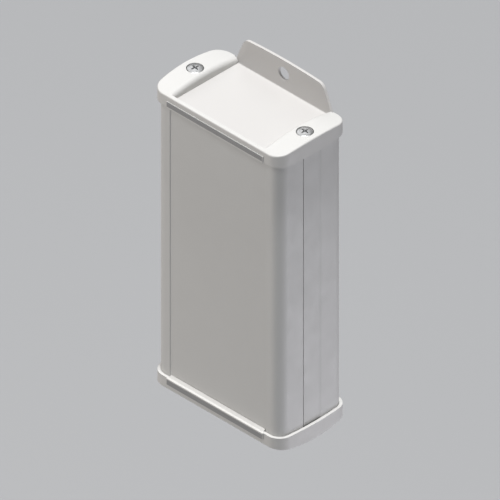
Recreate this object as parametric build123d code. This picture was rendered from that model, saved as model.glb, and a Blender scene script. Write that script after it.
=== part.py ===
from build123d import *
import math
import os

# Wall-mount extruded electronics enclosure, in millimetres.
# Frame: the origin is midway between the two wall holes, on the wall plane (the flanges' back faces).
# +X is to the right, +Y points into the wall and +Z is up.
#
# Each end is drawn in its own end frame, where X = 0 and Y = 0 are the body's centre and Z = 0 is the
# level of the end cap's front edge, with +Z pointing out of the end.

# Body plan: every outline is the end cap's outline moved inwards by an inset
cap_mid_width = 73.3            # over the bowed sides at mid depth
cap_depth = 39.0
side_bow_radius = 140.0
cap_corner_radius = 6.4

# Extruded profile
profile_length = 133.0
profile_inset = 1.45
wall = 1.8
front_channel_width = 53.0      # of its floor; its side walls slope outwards at 45 degrees
front_channel_depth = 0.3
side_band_front = -5.4          # the shallow band down each side, from the body's mid depth
side_band_back = 4.7
side_band_depth = 0.3
side_band_ramp = 1.7            # its rear edge curves back up to the surface over this width
side_line_width = 0.6           # narrow groove along its front edge
side_line_depth = 0.8
guide_offset = 8.5              # board slots' centre planes, in front of and behind mid depth
guide_slot = 1.8
guide_rib = 1.2
guide_reach = 3.0

# End stack, outwards from the profile's end: gasket, flanged panel, cap
gasket_thickness = 0.8
gasket_inset = 2.3
gasket_width = 1.7
gasket_eye_diameter = 8.0
sheet_thickness = 1.2
panel_inset = 1.5
recess_depth = 2.3              # from the cap's front edge level down to the panel

# Flange that stands up from the panel's rear edge
flange_front = 18.8             # its front face, behind mid depth
flange_base_width = 54.4
flange_top_width = 43.4
flange_top = 11.6               # at the middle of its arched top
flange_crown = 0.8
flange_corner_radius = 4.0
flange_bend_radius = 0.4
wall_hole_diameter = 6.0
wall_hole_height = 5.2

# End cap
skirt_inset = 1.35              # pocket wall, 0.1 clear of the profile
skirt_overlap = 1.0             # how far the skirt passes the profile's end
crest = 2.0                     # arched top, above its front and back edges
top_edge_radius = 0.55
recess_width = 50.6
recess_front = 17.7
zone_edge_radius = 1.8
lip_edge_radius = 0.4
notch_gap = 0.3
slide_gap = 0.1
pad_width = 53.8
pad_height = 2.85
pad_proud = 0.45
strip_width = 53.3
strip_border = 0.6              # from the rim to the strip, whose other edge is flush with the pad
strip_thickness = 0.3
tongue_width = 52.6
tongue_front = 18.85

# Screws and their sealing washers
screw_offset = 30.7
screw_diameter = 3.5
screw_length = 16.0
screw_tip = 1.2
head_diameter = 6.9
head_height = 2.2
head_rim_height = 1.7
head_top = 2.3                  # the dome stands just proud of the crest
counterbore_diameter = 7.2
clearance_diameter = 4.0
port_diameter = 3.6             # running clearance of 0.05 all round the screw
port_outer_diameter = 6.8
port_slot = 1.6
seal_diameter = 6.8
seal_thickness = 0.6
cross_width = 0.95
cross_span = 3.9
cross_depth = 1.4

# Levels in the end frame
panel_top = -recess_depth
panel_bottom = panel_top - sheet_thickness
profile_end = panel_bottom - gasket_thickness
rim = profile_end - skirt_overlap
head_seat = head_top - head_height
seal_seat = head_seat - seal_thickness

channel_floor = cap_depth / 2 - profile_inset - front_channel_depth

# Levels and places in the part's frame
end_level = profile_length / 2 - profile_end
body_back = flange_front + sheet_thickness
hole_spacing = 2 * (end_level + wall_hole_height)
slab = 60.0                     # larger than any section, for cutting


def outline(inset):
    """The body's plan: flat front and back, bowed sides, round corners."""
    half_width = cap_mid_width / 2 - inset
    half_depth = cap_depth / 2 - inset
    bow = side_bow_radius - inset
    corner = half_width - bow + math.sqrt(bow**2 - half_depth**2)
    right = ThreePointArc((corner, -half_depth), (half_width, 0), (corner, half_depth))
    left = ThreePointArc((-corner, half_depth), (-half_width, 0), (-corner, -half_depth))
    front = Line((-corner, -half_depth), (corner, -half_depth))
    back = Line((corner, half_depth), (-corner, half_depth))
    plan = make_face([front, right, back, left])
    return fillet(plan.vertices(), cap_corner_radius - inset)


def prism(section, bottom, top):
    """A plan section raised from one level to another."""
    return extrude(Pos(0, 0, bottom) * section, amount=top - bottom)


def block(x, y, z):
    """A box between two coordinates on each axis."""
    size = (x[1] - x[0], y[1] - y[0], z[1] - z[0])
    middle = (sum(x) / 2, sum(y) / 2, sum(z) / 2)
    return Pos(*middle) * Box(*size)


def rod(diameter, bottom, top, x=0.0):
    """An upright round rod at mid depth."""
    height = top - bottom
    return Pos(x, 0, bottom + height / 2) * Cylinder(diameter / 2, height)


def guide_ribs():
    """Two pairs of ribs on each side wall; each pair holds one edge of a board."""
    ribs = Sketch()
    inner = cap_mid_width / 2 - profile_inset - wall
    for side in (-1, 1):
        for level in (-guide_offset, guide_offset):
            for edge in (-1, 1):
                y = level + edge * (guide_slot + guide_rib) / 2
                ribs += Pos(side * inner, y) * Rectangle(2 * guide_reach, guide_rib)
    return ribs


def screw_ports():
    """Open round ports beside the side walls, which the cap screws cut their thread into."""
    ports = Sketch()
    for side in (-1, 1):
        ring = Circle(port_outer_diameter / 2) - Circle(port_diameter / 2)
        slot = Pos(-side * port_outer_diameter / 2, 0) * Rectangle(port_outer_diameter, port_slot)
        ports += Pos(side * screw_offset, 0) * (ring - slot)
    return ports


def front_channel():
    """Cutter for the shallow channel down the front."""
    half = front_channel_width / 2
    reach = 2 * front_channel_depth
    return make_face(Polyline(
        (-half, -channel_floor),
        (half, -channel_floor),
        (half + reach, -channel_floor - reach),
        (-half - reach, -channel_floor - reach),
        close=True,
    ))


def side_surface(y):
    """Half width of the profile's bowed side at a distance from mid depth."""
    bow = side_bow_radius - profile_inset
    return cap_mid_width / 2 - profile_inset - bow + math.sqrt(bow**2 - y**2)


def side_bands():
    """Cutters for the band down each side: a groove along its front and a ramp along its back."""
    line_back = side_band_front + side_line_width
    ramp_start = side_band_back - side_band_ramp
    proud = 1.0                 # past the surface
    floor_end = (side_surface(ramp_start) - side_band_depth, ramp_start)
    edge = (side_surface(side_band_back), side_band_back)
    ramp = TangentArc(floor_end, edge, tangent=(0, 1))
    floor = Polyline(
        edge,
        (side_surface(side_band_back) + proud, side_band_back),
        (side_surface(side_band_front) + proud, side_band_front),
        (side_surface(side_band_front) - side_line_depth, side_band_front),
        (side_surface(line_back) - side_line_depth, line_back),
        (side_surface(line_back) - side_band_depth, line_back),
        (side_surface(0) - side_band_depth, 0),
        floor_end,
    )
    right = make_face([ramp, floor])
    return right + mirror(right, Plane.YZ)


def profile_section():
    """The extrusion: shell, ports and ribs, less the front channel and the side bands."""
    body = outline(profile_inset)
    cavity = outline(profile_inset + wall)
    shell = body - cavity
    section = shell + (guide_ribs() & body)
    bores = Sketch() + [Pos(side * screw_offset, 0) * Circle(port_diameter / 2) for side in (-1, 1)]
    section = (section - bores) + (screw_ports() & body)
    return section - front_channel() - side_bands()


def housing_profile():
    return prism(profile_section(), -profile_length / 2, profile_length / 2)


def gasket():
    """Flat seal between the profile's end and the panel, with an eye round each screw."""
    ring = outline(gasket_inset) - outline(gasket_inset + gasket_width)
    for side in (-1, 1):
        ring += (Pos(side * screw_offset, 0) * Circle(gasket_eye_diameter / 2)) & outline(gasket_inset)
    for side in (-1, 1):
        ring -= Pos(side * screw_offset, 0) * Circle(clearance_diameter / 2)
    return prism(ring, profile_end, panel_bottom)


def flange_sheet():
    """The bent strip: it leaves the panel's rear edge and turns outwards through a right angle."""
    inner_y = flange_front - flange_bend_radius
    outer_bend = flange_bend_radius + sheet_thickness
    lines = Polyline(
        (inner_y - 2, panel_bottom),
        (body_back, panel_bottom),
        (body_back, flange_top),
        (flange_front, flange_top),
        (flange_front, panel_top),
        (inner_y - 2, panel_top),
        close=True,
    )
    section = make_face(lines)
    outer = section.vertices().sort_by_distance((body_back, panel_bottom))[0]
    section = fillet(outer, outer_bend)
    inner = section.vertices().sort_by_distance((flange_front, panel_top))[0]
    section = fillet(inner, flange_bend_radius)
    return extrude(Plane.YZ * section, amount=flange_base_width / 2, both=True)


def flange_shape():
    """The flange's front view: straight at the bend, then tapering to an arched, rounded top."""
    half_base = flange_base_width / 2
    half_top = flange_top_width / 2
    shoulder = flange_top - flange_crown
    sides = Polyline(
        (-half_top, shoulder),
        (-half_base, panel_top),
        (-half_base, panel_bottom),
        (half_base, panel_bottom),
        (half_base, panel_top),
        (half_top, shoulder),
    )
    arch = ThreePointArc((half_top, shoulder), (0, flange_top), (-half_top, shoulder))
    face = make_face([sides, arch])
    corners = face.vertices().group_by(Axis.Y)[-1]
    face = fillet(corners, flange_corner_radius)
    face -= Pos(0, wall_hole_height) * Circle(wall_hole_diameter / 2)
    return extrude(Plane.XZ * face, amount=slab, both=True)


def flanged_panel():
    """Sheet panel over the profile's end: cut back for the tongue, with the wall flange bent up."""
    half_notch = front_channel_width / 2
    plate = prism(outline(panel_inset), panel_bottom, panel_top)
    plate -= block((-half_notch, half_notch), (-slab, -channel_floor), (-slab, slab))
    panel = plate + (flange_sheet() & flange_shape())
    for side in (-1, 1):
        panel -= rod(clearance_diameter, panel_bottom - 1, panel_top + 1, side * screw_offset)
    return panel


def arch_radius():
    """The arched top is part of a cylinder along X that meets the front and back edges at Z = 0."""
    half = cap_depth / 2
    return (half**2 + crest**2) / (2 * crest)


def zone_edge_cutters():
    """Convex rounding of the two raised zones' inner edges, turned about the arch's own axis."""
    radius = arch_radius()
    edge = recess_width / 2
    r = zone_edge_radius
    cutters = []
    for side in (-1, 1):
        x0 = side * (edge - 1)
        x1 = side * edge
        x2 = side * (edge + r)
        mid = (side * (edge + r * (1 - math.sqrt(0.5))), radius - r * (1 - math.sqrt(0.5)))
        section = make_face([
            Line((x0, radius - r), (x1, radius - r)),
            ThreePointArc((x1, radius - r), mid, (x2, radius)),
            Line((x2, radius), (x2, radius + 1)),
            Line((x2, radius + 1), (x0, radius + 1)),
            Line((x0, radius + 1), (x0, radius - r)),
        ])
        ring = revolve(Plane.XZ * section, Axis.X)
        ring = Pos(0, 0, crest - radius) * ring
        cutters.append(ring & block((-slab, slab), (-recess_front, slab), (-slab, slab)))
    return cutters


def lip_edge_cutter():
    """Rounding of the front lip's inner edge."""
    r = lip_edge_radius
    inner = -recess_front
    start = inner - r
    level = crest - arch_radius() + math.sqrt(arch_radius()**2 - start**2)
    mid = (inner - r * (1 - math.sqrt(0.5)), level - r * (1 - math.sqrt(0.5)))
    section = make_face([
        ThreePointArc((start, level), mid, (inner, level - r)),
        Line((inner, level - r), (inner + r, level - r)),
        Line((inner + r, level - r), (inner + r, level + r)),
        Line((inner + r, level + r), (start, level + r)),
        Line((start, level + r), (start, level)),
    ])
    return extrude(Plane.YZ * section, amount=recess_width / 2, both=True)


def cap_shell():
    """The cap's outside: bowed plan, arched top and a rounded upper edge."""
    radius = arch_radius()
    body = prism(outline(0), rim, crest + 1)
    arch = Pos(0, 0, crest - radius) * Rot(0, 90, 0) * Cylinder(radius, 2 * slab)
    body = body & arch
    top = body.faces().sort_by(Axis.Z)[-1]
    return fillet(top.edges(), top_edge_radius)


def front_tongue():
    """Key on the rim that fills the profile's front channel and ends in a 45 degree chamfer."""
    back = channel_floor + slide_gap
    drop = tongue_front - back
    section = make_face(Polyline(
        (-tongue_front, panel_top),
        (-back, panel_top),
        (-back, rim - drop),
        (-tongue_front, rim),
        close=True,
    ))
    return extrude(Plane.YZ * section, amount=tongue_width / 2, both=True)


def end_cap():
    """Moulded cap: arched zones over the screws, a recess that shows the panel, and a skirt."""
    front = cap_depth / 2
    cap = cap_shell()
    cap += block((-pad_width / 2, pad_width / 2), (-front - pad_proud, -front + 1), (rim, rim + pad_height))
    cap -= prism(outline(skirt_inset), rim - 1, panel_top)
    half = recess_width / 2
    cap -= block((-half, half), (-recess_front, slab), (-slab, slab))
    notch = flange_base_width / 2 + notch_gap
    cap -= block((-notch, notch), (flange_front - slide_gap, slab), (-slab, slab))
    cap -= block((-notch, notch), (recess_front, slab), (-slab, panel_top))
    bend_start = flange_front - flange_bend_radius - slide_gap
    cap -= block((-notch, notch), (bend_start, slab), (-slab, panel_top + flange_bend_radius + slide_gap))
    for cutter in zone_edge_cutters() + [lip_edge_cutter()]:
        cap -= cutter
    half_strip = strip_width / 2
    seat_floor = -front - pad_proud + strip_thickness
    cap -= block((-half_strip, half_strip), (-slab, seat_floor), (rim + strip_border, rim + pad_height))
    cap += front_tongue()
    for side in (-1, 1):
        cap -= rod(counterbore_diameter, seal_seat, crest + 1, side * screw_offset)
        cap -= rod(clearance_diameter, panel_top - 1, crest, side * screw_offset)
    return cap


def trim_strip():
    """Thin darker strip let into the pad on the cap's front."""
    half = strip_width / 2
    front = -cap_depth / 2 - pad_proud
    return block((-half, half), (front, front + strip_thickness), (rim + strip_border, rim + pad_height))


def cap_screw():
    """Pan-head cross-recess screw with a domed head; drawn on the Z axis."""
    head_radius = head_diameter / 2
    shank = screw_diameter / 2
    tip = head_seat - screw_length
    rim_level = head_seat + head_rim_height
    rise = head_top - rim_level
    dome = (head_radius**2 + rise**2) / (2 * rise)
    x = head_radius * 0.55
    shoulder = (x, head_top - dome + math.sqrt(dome**2 - x**2))
    section = make_face([
        Line((0, head_top), (0, tip)),
        Line((0, tip), (shank * 0.4, tip)),
        Line((shank * 0.4, tip), (shank, tip + screw_tip)),
        Line((shank, tip + screw_tip), (shank, head_seat)),
        Line((shank, head_seat), (head_radius, head_seat)),
        Line((head_radius, head_seat), (head_radius, rim_level)),
        ThreePointArc((head_radius, rim_level), shoulder, (0, head_top)),
    ])
    screw = revolve(Plane.XZ * section, Axis.Z)
    for angle in (0, 90):
        arm = loft([
            Pos(0, 0, head_top + 0.1) * Rectangle(cross_span, cross_width),
            Pos(0, 0, head_top - cross_depth) * Rectangle(cross_span * 0.35, cross_width * 0.7),
        ])
        screw -= Rot(0, 0, angle) * arm
    return screw


def screw_seal():
    """Sealing washer under the screw's head; drawn on the Z axis."""
    return rod(seal_diameter, seal_seat, head_seat) - rod(clearance_diameter, seal_seat - 1, head_seat + 1)


def place(shape, end):
    """Put an end-frame shape on the top end, or turn it about Y onto the bottom end."""
    on_top = Pos(0, -body_back, end_level) * shape
    if end == "top":
        return on_top
    return Rot(0, 180, 0) * on_top


def build():
    parts = {"housing_profile": Pos(0, -body_back, 0) * housing_profile()}
    end_pieces = {
        "end_cap": end_cap(),
        "flanged_panel": flanged_panel(),
        "gasket": gasket(),
        "trim_strip": trim_strip(),
    }
    for end, turn in (("top", 1), ("bottom", -1)):
        for name, shape in end_pieces.items():
            parts[f"{name}_{end}"] = place(shape, end)
        for hand, side in (("left", -1), ("right", 1)):
            spot = Pos(side * turn * screw_offset, 0, 0)
            parts[f"cap_screw_{end}_{hand}"] = place(spot * cap_screw(), end)
            parts[f"screw_seal_{end}_{hand}"] = place(spot * screw_seal(), end)
    return parts


os.makedirs("parts", exist_ok=True)
for node, shape in build().items():
    export_step(shape, f"parts/{node}.step")
print(f"wall holes {hole_spacing:.1f} apart, wall plane {body_back:.2f} behind mid depth")
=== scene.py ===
import math

import bmesh
import bpy
from mathutils import Matrix, Vector


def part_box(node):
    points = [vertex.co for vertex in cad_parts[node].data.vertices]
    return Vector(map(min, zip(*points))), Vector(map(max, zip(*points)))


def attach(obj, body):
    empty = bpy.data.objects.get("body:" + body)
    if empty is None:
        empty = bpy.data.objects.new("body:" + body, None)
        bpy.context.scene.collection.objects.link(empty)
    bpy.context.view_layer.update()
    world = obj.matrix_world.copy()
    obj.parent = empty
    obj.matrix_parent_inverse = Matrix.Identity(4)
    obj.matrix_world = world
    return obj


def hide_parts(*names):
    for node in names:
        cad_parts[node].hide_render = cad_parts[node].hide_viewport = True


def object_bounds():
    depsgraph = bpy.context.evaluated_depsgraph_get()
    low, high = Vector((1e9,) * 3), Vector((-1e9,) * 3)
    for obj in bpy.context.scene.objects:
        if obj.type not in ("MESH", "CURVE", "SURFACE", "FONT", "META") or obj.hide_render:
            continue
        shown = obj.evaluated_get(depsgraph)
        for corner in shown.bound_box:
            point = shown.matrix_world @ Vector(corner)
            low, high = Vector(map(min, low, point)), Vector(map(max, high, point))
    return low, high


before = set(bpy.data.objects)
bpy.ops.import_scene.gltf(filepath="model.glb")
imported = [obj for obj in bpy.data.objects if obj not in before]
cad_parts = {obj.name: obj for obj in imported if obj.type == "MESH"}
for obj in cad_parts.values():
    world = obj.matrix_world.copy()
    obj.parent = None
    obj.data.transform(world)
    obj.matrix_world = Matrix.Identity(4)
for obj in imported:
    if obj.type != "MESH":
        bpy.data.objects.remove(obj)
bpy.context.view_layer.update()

MM = 0.001

# View: a parallel projection from the front right, above; distances in metres
VIEW_AZIMUTH = math.radians(45.0)
VIEW_ELEVATION = math.radians(35.264)
VIEW_WIDTH = 0.1976
CAMERA_DISTANCE = 1.2
CAMERA_REACH = 10.0             # nothing farther away is drawn

# Floor and light; distances in metres
FLOOR_SIZE = 6.0
FLOOR_DROP = 0.32               # the object hangs on a wall, well above it
FLOOR_COLOUR = (0.33, 0.335, 0.345)
FLOOR_ROUGHNESS = 0.9
WORLD_STRENGTH = 0.155
SUN_DISTANCE = 1.0              # where the sun's object stands; it doesn't change the light
WHITE = (1.0, 1.0, 1.0)
WARM = (1.0, 0.90, 0.80)
COOL = (0.95, 0.93, 1.0)

# Screw, in millimetres: the CAD screw's sizes and the details that it leaves plain
SCREW_DIAMETER = 3.5
HEAD_HEIGHT = 2.2
HEAD_RIM_HEIGHT = 1.7
HEAD_EDGE_RADIUS = 0.35
SEAT_EDGE_RADIUS = 0.12
SHANK_OVERLAP = 0.3             # how far the shank reaches up into the head
TIP_LENGTH = 2.4
TIP_RADIUS = 0.35
THREAD_PITCH = 1.25
THREAD_DEPTH = 0.42
THREAD_LAND = 0.16              # share of the pitch that the crest takes
THREAD_FLANK = 0.72             # share of the way from the crest to mid-root that the flank takes
THREAD_START = 0.4              # pitches of plain shank at its upper end
RECESS_DEPTH = 1.75
RECESS_SPAN = 4.0
RECESS_WING = 0.78              # width of a wing
RECESS_HUB = 1.55               # width of the round middle
RECESS_POINT = 0.25             # how far the hub's cone goes below the wings
RECESS_END_SPAN = 0.30          # share of the span that is left at the bottom
RECESS_END_WIDTH = 0.62         # share of a wing's and the hub's width that is left there
CUTTER_RISE = 0.2               # how far the cutters stand above the head

# How far each screw is turned in its seat, in degrees
SCREW_TURNS = {"top_left": -9, "top_right": -3, "bottom_left": 33, "bottom_right": 80}

# Mesh of the screw: how finely it is divided, and a square's corners
HEAD_SEGMENTS = 80
SHANK_SEGMENTS = 40
THREAD_SLICES = 10              # levels in each pitch
DOME_STEPS = 10
HEAD_EDGE_STEPS = 6
SEAT_EDGE_STEPS = 4
SHARP_ANGLE = 32                # degrees; an edge that bends more is shaded sharp
MERGE_DISTANCE = 0.001          # millimetres
SQUARE = ((-1, -1), (1, -1), (1, 1), (-1, 1))

# Material nodes
EDGE_SOFTNESS = 0.12            # millimetres
BEVEL_SAMPLES = 4
NOISE_MIDDLE = (0.3, 0.7)       # the range that holds most of a noise texture's values
MIX_COLOURS = (6, 7)            # the Mix node's colour sockets, whose names its other sockets share
MIX_RESULT = 2


# ---------------------------------------------------------------- camera, light and floor

def direction(azimuth, elevation):
    """From the object towards a place at that azimuth and elevation; azimuth 0 is in front."""
    flat = math.cos(elevation)
    return Vector((math.sin(azimuth) * flat, -math.cos(azimuth) * flat, math.sin(elevation)))


def body_centre():
    low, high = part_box("housing_profile")
    return (low + high) / 2


def make_camera():
    data = bpy.data.cameras.new("camera")
    data.type = "ORTHO"
    data.ortho_scale = VIEW_WIDTH
    data.clip_end = CAMERA_REACH
    camera = bpy.data.objects.new("camera", data)
    bpy.context.collection.objects.link(camera)
    back = direction(VIEW_AZIMUTH, VIEW_ELEVATION)
    camera.location = body_centre() + back * CAMERA_DISTANCE
    camera.rotation_mode = "QUATERNION"
    camera.rotation_quaternion = (-back).to_track_quat("-Z", "Y")
    bpy.context.scene.camera = camera


def place_light(data, name, azimuth, elevation, distance):
    """Puts a light on that side of the body, aimed at its centre; the angles are in degrees."""
    light = bpy.data.objects.new(name, data)
    bpy.context.collection.objects.link(light)
    back = direction(math.radians(azimuth), math.radians(elevation))
    light.location = body_centre() + back * distance
    light.rotation_mode = "QUATERNION"
    light.rotation_quaternion = back.to_track_quat("Z", "Y")


def area_light(name, azimuth, elevation, distance, size, power, colour=WHITE):
    data = bpy.data.lights.new(name, "AREA")
    data.shape = "SQUARE"
    data.size = size
    data.energy = power
    data.color = colour
    place_light(data, name, azimuth, elevation, distance)


def overhead_light(azimuth, elevation, angle, strength):
    data = bpy.data.lights.new("overhead", "SUN")
    data.angle = math.radians(angle)
    data.energy = strength
    place_light(data, "overhead", azimuth, elevation, SUN_DISTANCE)


def make_world(colour, strength):
    world = bpy.data.worlds.new("studio")
    world.use_nodes = True
    background = world.node_tree.nodes["Background"]
    background.inputs["Color"].default_value = (*colour, 1)
    background.inputs["Strength"].default_value = strength
    bpy.context.scene.world = world


def make_lights():
    make_world(WHITE, WORLD_STRENGTH)
    overhead_light(azimuth=60, elevation=87, angle=2.5, strength=3.35)
    area_light("front_high", azimuth=0, elevation=60, distance=1.2, size=0.5, power=3.0)
    area_light("front_left", azimuth=-50, elevation=8, distance=0.9, size=0.5, power=1.5, colour=WARM)
    area_light("front_low", azimuth=-45, elevation=-20, distance=0.9, size=0.5, power=1.15, colour=WARM)
    area_light("right", azimuth=122, elevation=-38, distance=0.42, size=0.25, power=0.56, colour=COOL)
    area_light("behind", azimuth=233, elevation=42, distance=1.0, size=0.6, power=1.4)


def make_floor():
    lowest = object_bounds()[0]
    bpy.ops.mesh.primitive_plane_add(size=FLOOR_SIZE, location=(0, 0, lowest.z - FLOOR_DROP))
    floor = bpy.context.object
    floor.name = "floor"
    material = bpy.data.materials.new("floor")
    material.use_nodes = True
    shader = material.node_tree.nodes["Principled BSDF"]
    shader.inputs["Base Color"].default_value = (*FLOOR_COLOUR, 1)
    shader.inputs["Roughness"].default_value = FLOOR_ROUGHNESS
    floor.data.materials.append(material)


# ---------------------------------------------------------------- materials

class Finish:
    """One procedural material; the textures are in the object's own space, in metres."""

    def __init__(self, name, metallic=0.0, specular=0.5):
        self.material = bpy.data.materials.new(name)
        self.material.use_nodes = True
        self.nodes = self.material.node_tree.nodes
        self.links = self.material.node_tree.links
        self.shader = self.nodes["Principled BSDF"]
        self.shader.inputs["Metallic"].default_value = metallic
        self.shader.inputs["Specular IOR Level"].default_value = specular
        self.place = self.nodes.new("ShaderNodeTexCoord").outputs["Object"]

    def noise(self, scale, detail, stretch=None):
        """A noise value about 0.5; scale is in cycles per metre, and stretch multiplies it by axis."""
        source = self.place
        if stretch:
            mapping = self.nodes.new("ShaderNodeMapping")
            mapping.inputs["Scale"].default_value = stretch
            self.links.new(source, mapping.inputs["Vector"])
            source = mapping.outputs["Vector"]
        texture = self.nodes.new("ShaderNodeTexNoise")
        texture.inputs["Scale"].default_value = scale
        texture.inputs["Detail"].default_value = detail
        self.links.new(source, texture.inputs["Vector"])
        return texture.outputs["Fac"]

    def patches(self, scale, detail, low=0, high=1, stretch=None):
        """Noise with the middle of its values mapped onto a range."""
        value = self.noise(scale, detail, stretch)
        ranges = self.nodes.new("ShaderNodeMapRange")
        ranges.inputs["From Min"].default_value = NOISE_MIDDLE[0]
        ranges.inputs["From Max"].default_value = NOISE_MIDDLE[1]
        ranges.inputs["To Min"].default_value = low
        ranges.inputs["To Max"].default_value = high
        self.links.new(value, ranges.inputs["Value"])
        return ranges.outputs["Result"]

    def mix(self, factor, first, second):
        """Mixes two colours; each is a socket or a plain colour."""
        node = self.nodes.new("ShaderNodeMix")
        node.data_type = "RGBA"
        self.links.new(factor, node.inputs["Factor"])
        for index, colour in zip(MIX_COLOURS, (first, second)):
            if isinstance(colour, bpy.types.NodeSocket):
                self.links.new(colour, node.inputs[index])
            else:
                node.inputs[index].default_value = (*colour, 1)
        return node.outputs[MIX_RESULT]

    def tones(self, factor, base, start, end):
        """The base colour, from one share of its brightness to another."""
        return self.mix(factor, shade(base, start), shade(base, end))

    def colour(self, socket):
        self.links.new(socket, self.shader.inputs["Base Color"])

    def roughness(self, socket):
        self.links.new(socket, self.shader.inputs["Roughness"])

    def soften_edges(self, radius=EDGE_SOFTNESS):
        """Shades the edges as if rounded to a radius in millimetres; the bumps go on top."""
        bevel = self.nodes.new("ShaderNodeBevel")
        bevel.samples = BEVEL_SAMPLES
        bevel.inputs["Radius"].default_value = radius * MM
        self.normal = bevel.outputs["Normal"]

    def bump(self, height, strength, depth):
        """Adds a bump to the ones before it; depth is in millimetres."""
        node = self.nodes.new("ShaderNodeBump")
        node.inputs["Strength"].default_value = strength
        node.inputs["Distance"].default_value = depth * MM
        self.links.new(height, node.inputs["Height"])
        self.links.new(self.normal, node.inputs["Normal"])
        self.normal = node.outputs["Normal"]
        self.links.new(self.normal, self.shader.inputs["Normal"])


def shade(colour, factor):
    return tuple(channel * factor for channel in colour)


def extruded_coating():
    """Powder coat over an extrusion: fine orange peel and faint die lines along the length."""
    base = (0.615, 0.615, 0.605)
    finish = Finish("profile_coating")
    broad = finish.patches(scale=28, detail=3)
    speckle = finish.patches(scale=5200, detail=2)
    die_lines = finish.noise(scale=1, detail=3, stretch=(1400, 1400, 9))
    tone = finish.tones(broad, base, start=0.985, end=1.015)
    finish.colour(finish.mix(speckle, tone, shade(base, 0.97)))
    finish.roughness(finish.patches(scale=160, detail=3, low=0.44, high=0.56))
    orange_peel = finish.noise(scale=1500, detail=2)
    grain = finish.noise(scale=4200, detail=1)
    finish.soften_edges(0.2)
    finish.bump(die_lines, strength=0.10, depth=0.05)
    finish.bump(orange_peel, strength=0.22, depth=0.05)
    finish.bump(grain, strength=0.10, depth=0.03)
    return finish.material


def panel_coating():
    """Powder coat over sheet: a little smoother and darker than on the extrusion."""
    base = (0.575, 0.563, 0.552)
    finish = Finish("panel_coating")
    broad = finish.patches(scale=35, detail=3)
    finish.colour(finish.tones(broad, base, start=0.994, end=1.006))
    finish.roughness(finish.patches(scale=220, detail=3, low=0.46, high=0.51))
    orange_peel = finish.noise(scale=1700, detail=2)
    grain = finish.noise(scale=5000, detail=1)
    finish.soften_edges()
    finish.bump(orange_peel, strength=0.20, depth=0.05)
    finish.bump(grain, strength=0.08, depth=0.03)
    return finish.material


def moulded_plastic():
    """Fine spark-eroded mould texture with faint flow marks."""
    base = (0.63, 0.625, 0.612)
    finish = Finish("cap_plastic")
    flow_marks = finish.patches(scale=1, detail=2, stretch=(18, 60, 60))
    speckle = finish.patches(scale=6500, detail=2)
    tone = finish.tones(flow_marks, base, start=0.985, end=1.012)
    finish.colour(finish.mix(speckle, tone, shade(base, 0.965)))
    finish.roughness(finish.patches(scale=300, detail=3, low=0.46, high=0.58))
    mould_texture = finish.noise(scale=3600, detail=3)
    waviness = finish.noise(scale=90, detail=2)
    finish.soften_edges()
    finish.bump(mould_texture, strength=0.28, depth=0.04)
    finish.bump(waviness, strength=0.06, depth=0.10)
    return finish.material


def trim_plastic():
    """Mid-grey insert, drawn along its length."""
    base = (0.285, 0.287, 0.292)
    finish = Finish("trim_plastic")
    drawn_lines = finish.patches(scale=1, detail=3, stretch=(60, 2600, 2600))
    finish.colour(finish.tones(drawn_lines, base, start=0.94, end=1.06))
    finish.roughness(finish.patches(scale=700, detail=3, low=0.40, high=0.52))
    grain = finish.noise(scale=4200, detail=2)
    finish.soften_edges()
    finish.bump(drawn_lines, strength=0.12, depth=0.02)
    finish.bump(grain, strength=0.15, depth=0.03)
    return finish.material


def rubber(name, base):
    """Matt black rubber with a fine skin."""
    finish = Finish(name, specular=0.35)
    bloom = finish.patches(scale=450, detail=4)
    finish.colour(finish.tones(bloom, base, start=1.0, end=1.6))
    finish.roughness(finish.patches(scale=900, detail=2, low=0.66, high=0.85))
    skin = finish.noise(scale=2800, detail=3)
    finish.soften_edges()
    finish.bump(skin, strength=0.35, depth=0.04)
    return finish.material


def zinc_steel():
    """Zinc-plated steel: clouded plating with a fine grain."""
    base = (0.60, 0.605, 0.61)
    finish = Finish("screw_steel", metallic=1.0)
    clouds = finish.patches(scale=900, detail=4)
    finish.colour(finish.tones(clouds, base, start=0.86, end=1.08))
    finish.roughness(finish.patches(scale=1500, detail=3, low=0.26, high=0.44))
    grain = finish.noise(scale=5200, detail=2)
    finish.soften_edges(0.05)
    finish.bump(grain, strength=0.14, depth=0.02)
    return finish.material


def finish_nodes(finishes):
    """Gives each CAD node the material that its name starts with."""
    for name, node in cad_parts.items():
        for start, material in finishes.items():
            if name.startswith(start):
                node.data.materials.clear()
                node.data.materials.append(material)


# ---------------------------------------------------------------- screws

def finished(name, mesh):
    """Turns a bmesh into an object with its faces outwards."""
    bmesh.ops.recalc_face_normals(mesh, faces=mesh.faces)
    data = bpy.data.meshes.new(name)
    mesh.to_mesh(data)
    mesh.free()
    piece = bpy.data.objects.new(name, data)
    bpy.context.collection.objects.link(piece)
    return piece


def place_point(mesh, radius, angle, height):
    return mesh.verts.new((radius * math.cos(angle), radius * math.sin(angle), height))


def join_rings(mesh, rings):
    """Faces between each ring and the next; a ring of one point closes the shape on the axis."""
    for lower, upper in zip(rings, rings[1:]):
        count = max(len(lower), len(upper))
        for step in range(count):
            following = (step + 1) % count
            if len(lower) == 1:
                mesh.faces.new((lower[0], upper[following], upper[step]))
            elif len(upper) == 1:
                mesh.faces.new((lower[step], lower[following], upper[0]))
            else:
                mesh.faces.new((lower[step], lower[following], upper[following], upper[step]))


def revolved(name, outline):
    """A closed turned shape from (radius, height) points that start and end on the axis."""
    mesh = bmesh.new()
    rings = []
    for radius, height in outline:
        count = HEAD_SEGMENTS if radius else 1
        angles = [2 * math.pi * step / count for step in range(count)]
        rings.append([place_point(mesh, radius, angle, height) for angle in angles])
    join_rings(mesh, rings)
    return finished(name, mesh)


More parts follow.
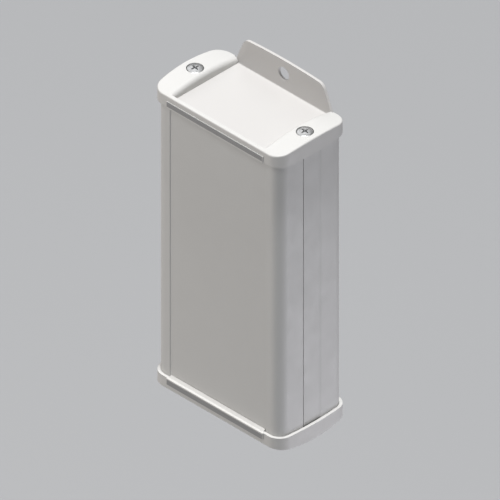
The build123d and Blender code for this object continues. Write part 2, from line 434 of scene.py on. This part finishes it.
def arc(centre, radius, start, end, steps):
    """Points of a round edge in the (radius, height) plane; the angles are in degrees."""
    points = []
    for step in range(steps + 1):
        angle = math.radians(start + (end - start) * step / steps)
        points.append((centre[0] + radius * math.cos(angle), centre[1] + radius * math.sin(angle)))
    return points


def screw_head(radius, seat, rim, top):
    """Pan head: a flat seat, an upright rim, and a rounded edge that runs on into a shallow dome."""
    rise = top - rim
    dome = (radius**2 + rise**2) / (2 * rise)
    edge = HEAD_EDGE_RADIUS * MM
    foot = SEAT_EDGE_RADIUS * MM
    outline = [(0, seat), (radius - foot, seat)]
    outline += arc((radius - foot, seat + foot), foot, -90, 0, SEAT_EDGE_STEPS)[1:]
    lean = math.degrees(math.asin((radius - edge) / (dome - edge)))
    edge_height = top - dome + math.sqrt((dome - edge)**2 - (radius - edge)**2)
    outline += arc((radius - edge, edge_height), edge, 0, 90 - lean, HEAD_EDGE_STEPS)
    start = math.radians(lean)
    for step in range(1, DOME_STEPS):
        angle = start * (1 - step / DOME_STEPS)
        outline.append((dome * math.sin(angle), top - dome + dome * math.cos(angle)))
    outline.append((0, top))
    return revolved("screw_head", outline)


def thread_radius(phase, crest, root):
    """Thread section over one pitch: a narrow crest, sloping flanks and a flat root."""
    half_land = THREAD_LAND / 2
    flank = (0.5 - half_land) * THREAD_FLANK
    away = abs((phase + 0.5) % 1.0 - 0.5)
    if away <= half_land:
        return crest
    fall = min(1.0, (away - half_land) / flank)
    return crest + (root - crest) * fall


def screw_shank(crest, tip, end):
    """Self-tapping shank: the thread runs out below its upper end and closes down to a blunt tip."""
    pitch = THREAD_PITCH * MM
    depth = THREAD_DEPTH * MM
    count = math.ceil((end - tip) / pitch * THREAD_SLICES)
    mesh = bmesh.new()
    rings = []
    for level in range(count + 1):
        height = tip + (end - tip) * level / count
        taper = min(1.0, (height - tip) / (TIP_LENGTH * MM))
        runout = min(1.0, max(0.0, (end - height) / pitch - THREAD_START))
        outer = TIP_RADIUS * MM + (crest - TIP_RADIUS * MM) * taper
        core = outer - depth
        ring = []
        for step in range(SHANK_SEGMENTS):
            turn = step / SHANK_SEGMENTS
            radius = thread_radius(height / pitch - turn, outer, outer - depth * taper)
            radius = core + (radius - core) * runout
            ring.append(place_point(mesh, radius, 2 * math.pi * turn, height))
        rings.append(ring)
    join_rings(mesh, rings)
    mesh.faces.new(reversed(rings[0]))
    mesh.faces.new(rings[-1])
    return finished("screw_shank", mesh)


def recess_wing(bottom, above, turn):
    """Cutter for one bar of the cross: a box that narrows towards the bottom."""
    mesh = bmesh.new()
    spin = Matrix.Rotation(turn, 3, "Z")
    ends = (
        (bottom, RECESS_SPAN * RECESS_END_SPAN, RECESS_WING * RECESS_END_WIDTH),
        (above, RECESS_SPAN, RECESS_WING),
    )
    rings = []
    for height, span, width in ends:
        half_span = span * MM / 2
        half_width = width * MM / 2
        corners = [Vector((x * half_span, y * half_width, height)) for x, y in SQUARE]
        rings.append([mesh.verts.new(spin @ corner) for corner in corners])
    mesh.faces.new(reversed(rings[0]))
    mesh.faces.new(rings[1])
    join_rings(mesh, rings)
    return finished("recess_wing", mesh)


def recess_hub(bottom, above):
    """Cutter for the round middle of the cross, which tapers to a cone."""
    radius = RECESS_HUB * MM / 2
    return revolved("recess_hub", [
        (0, bottom - RECESS_POINT * MM),
        (radius * RECESS_END_WIDTH, bottom),
        (radius, above),
        (0, above),
    ])


def combine(piece, other, operation):
    """Boolean with another piece, which is used up."""
    modifier = piece.modifiers.new("join", "BOOLEAN")
    modifier.operation = operation
    modifier.solver = "EXACT"
    modifier.object = other
    with bpy.context.temp_override(object=piece, active_object=piece):
        bpy.ops.object.modifier_apply(modifier=modifier.name)
    bpy.data.objects.remove(other)


def cut_recess(screw, top):
    """Cuts the cross recess into the top of the head."""
    bottom = top - RECESS_DEPTH * MM
    above = top + CUTTER_RISE * MM
    cutters = [recess_wing(bottom, above, turn) for turn in (0.0, math.pi / 2)]
    cutters.append(recess_hub(bottom, above))
    for cutter in cutters:
        combine(screw, cutter, "DIFFERENCE")


def merge_slivers(piece):
    """Merges points that the booleans leave almost together, and makes the mesh all triangles."""
    reach = MERGE_DISTANCE * MM
    mesh = bmesh.new()
    mesh.from_mesh(piece.data)
    bmesh.ops.remove_doubles(mesh, verts=mesh.verts, dist=reach)
    bmesh.ops.dissolve_degenerate(mesh, edges=mesh.edges, dist=reach)
    bmesh.ops.triangulate(mesh, faces=mesh.faces)
    mesh.to_mesh(piece.data)
    mesh.free()


def screw_mesh():
    """One screw on the Z axis, pointing down, with the head's top at the origin."""
    low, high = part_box("cap_screw_top_left")
    top = high.z - low.z
    radius = (high.x - low.x) / 2
    seat = top - HEAD_HEIGHT * MM
    screw = screw_head(radius, seat, seat + HEAD_RIM_HEIGHT * MM, top)
    shank = screw_shank(SCREW_DIAMETER / 2 * MM, 0.0, seat + SHANK_OVERLAP * MM)
    combine(screw, shank, "UNION")
    cut_recess(screw, top)
    merge_slivers(screw)
    data = screw.data
    bpy.data.objects.remove(screw)
    data.transform(Matrix.Translation((0, 0, -top)))
    data.name = "cap_screw"
    return data


def make_screws(material):
    """Threaded screws in place of the plain CAD ones; the bottom ones are turned over."""
    data = screw_mesh()
    data.materials.append(material)
    data.set_sharp_from_angle(angle=math.radians(SHARP_ANGLE))
    for place, turn in SCREW_TURNS.items():
        node = f"cap_screw_{place}"
        low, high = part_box(node)
        upright = place.startswith("top")
        piece = bpy.data.objects.new(f"threaded_screw_{place}", data.copy())
        bpy.context.collection.objects.link(piece)
        spin = Matrix.Rotation(math.radians(turn), 4, "Z")
        flip = Matrix.Identity(4) if upright else Matrix.Rotation(math.pi, 4, "X")
        level = high.z if upright else low.z
        spot = Matrix.Translation(((low.x + high.x) / 2, (low.y + high.y) / 2, level))
        piece.data.transform(spot @ flip @ spin)
        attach(piece, f"{place}_screw")
        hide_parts(node)


# ---------------------------------------------------------------- build

make_camera()
bpy.context.scene.view_settings.view_transform = "Standard"
make_lights()
make_floor()

steel = zinc_steel()
finish_nodes({
    "housing_profile": extruded_coating(),
    "end_cap": moulded_plastic(),
    "flanged_panel": panel_coating(),
    "gasket": rubber("gasket_rubber", (0.022, 0.022, 0.023)),
    "trim_strip": trim_plastic(),
    "cap_screw": steel,
    "screw_seal": rubber("seal_rubber", (0.028, 0.028, 0.028)),
})
make_screws(steel)
